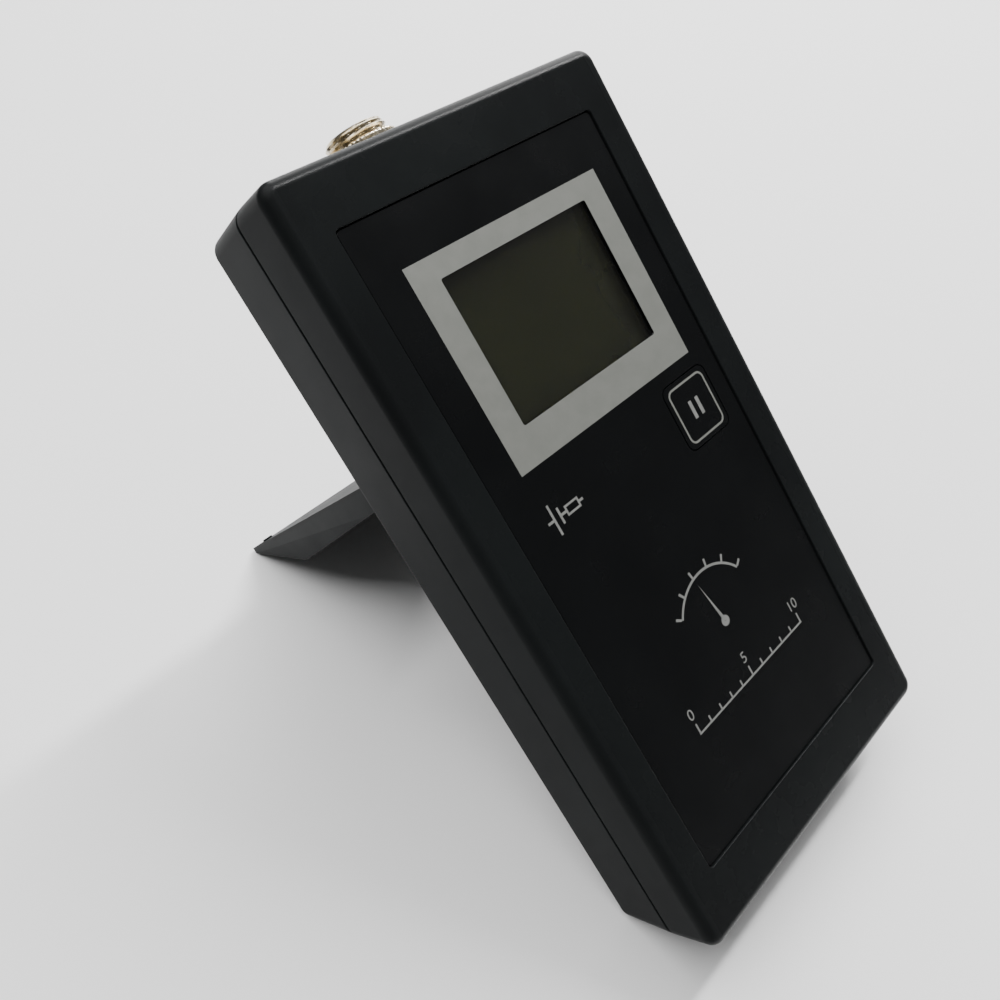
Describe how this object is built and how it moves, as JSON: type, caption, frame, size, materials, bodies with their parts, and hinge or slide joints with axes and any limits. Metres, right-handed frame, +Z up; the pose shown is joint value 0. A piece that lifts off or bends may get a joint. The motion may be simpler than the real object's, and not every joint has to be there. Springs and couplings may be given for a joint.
{
  "type": "battery tester",
  "caption": "Hand-held battery tester with a recessed face film, a display window, a flat hold key, a round lead socket and a wide tilt stand at the back, stored open.",
  "frame": {"origin": "middle of the footprint, on the floor that the case's rear foot edge and the stand's tip stand on", "axes": "+Z up; -Y is the side that the face looks to, leaning back; +X is to the right of a person who reads the display"},
  "size_m": [0.08, 0.1455, 0.1202],
  "materials": {
    "case_abs": "fine-textured satin ABS",
    "stand_abs": "fine-textured satin ABS",
    "face_film": "printed polyester film, semi-gloss",
    "window_clear": "clear acrylic pane",
    "lcd_glass": "polarised display glass",
    "foam_black": "closed-cell foam",
    "plastic_white": "moulded white plastic",
    "strip_rubber": "conductive rubber strip",
    "board_green": "solder-masked glass laminate",
    "chip_black": "moulded epoxy package",
    "can_steel": "drawn steel can",
    "ferrite": "pressed ferrite",
    "sleeve_blue": "shrink sleeve on an aluminium can",
    "plunger_tan": "moulded plastic",
    "socket_metal": "nickel-plated turned brass",
    "insulator": "moulded insulator",
    "contact_gold": "gold-plated",
    "fastener_steel": "zinc-plated",
    "insert_brass": "knurled brass",
    "spring_steel": "nickel-plated spring steel",
    "wire_red": "soft wire insulation",
    "cell_wrap": "printed wrap on a metal can"
  },
  "bodies": {
    "case": {"front_cover": "case_abs", "rear_cover": "case_abs", "front_overlay": "face_film", "display_window": "window_clear", "display_gasket": "foam_black", "display_glass": "lcd_glass", "backlight_panel": "plastic_white", "display_holder": "plastic_white", "contact_strips": "strip_rubber", "main_board": "board_green", "controller_chip": "chip_black", "converter_chip": "chip_black", "amplifier_chips": "chip_black", "power_transistors": "chip_black", "filter_capacitors": "sleeve_blue", "timing_crystal": "can_steel", "supply_inductor": "ferrite", "chip_resistors": "chip_black", "key_switch": "chip_black", "socket_shell": "socket_metal", "socket_nut": "socket_metal", "socket_washer": "fastener_steel", "socket_insulator": "insulator", "socket_contacts": "contact_gold", "socket_wires": "wire_red", "wire_header": "plastic_white", "battery_door": "case_abs", "door_screw": "fastener_steel", "battery_cells": "cell_wrap", "battery_springs": "spring_steel", "battery_plates": "spring_steel", "battery_wires": "wire_red", "case_screws": "fastener_steel", "case_inserts": "insert_brass", "board_screws": "fastener_steel"},
    "stand": {"tilt_stand": "stand_abs"},
    "key": {"hold_key": "face_film", "switch_plunger": "plunger_tan"}
  },
  "joints": [
    {"name": "stand_hinge", "type": "hinge", "parent": "case", "child": "stand", "pos_m": [0, 0.01842, 0.06898], "axis": [-1, 0, 0], "range_deg": [0, 85.5]},
    {"name": "hold_key_press", "type": "slide", "parent": "case", "child": "key", "axis": [0, 0.6623, -0.7493], "range_m": [0, 0.00035], "stiffness_N_per_m": 4500}
  ]
}
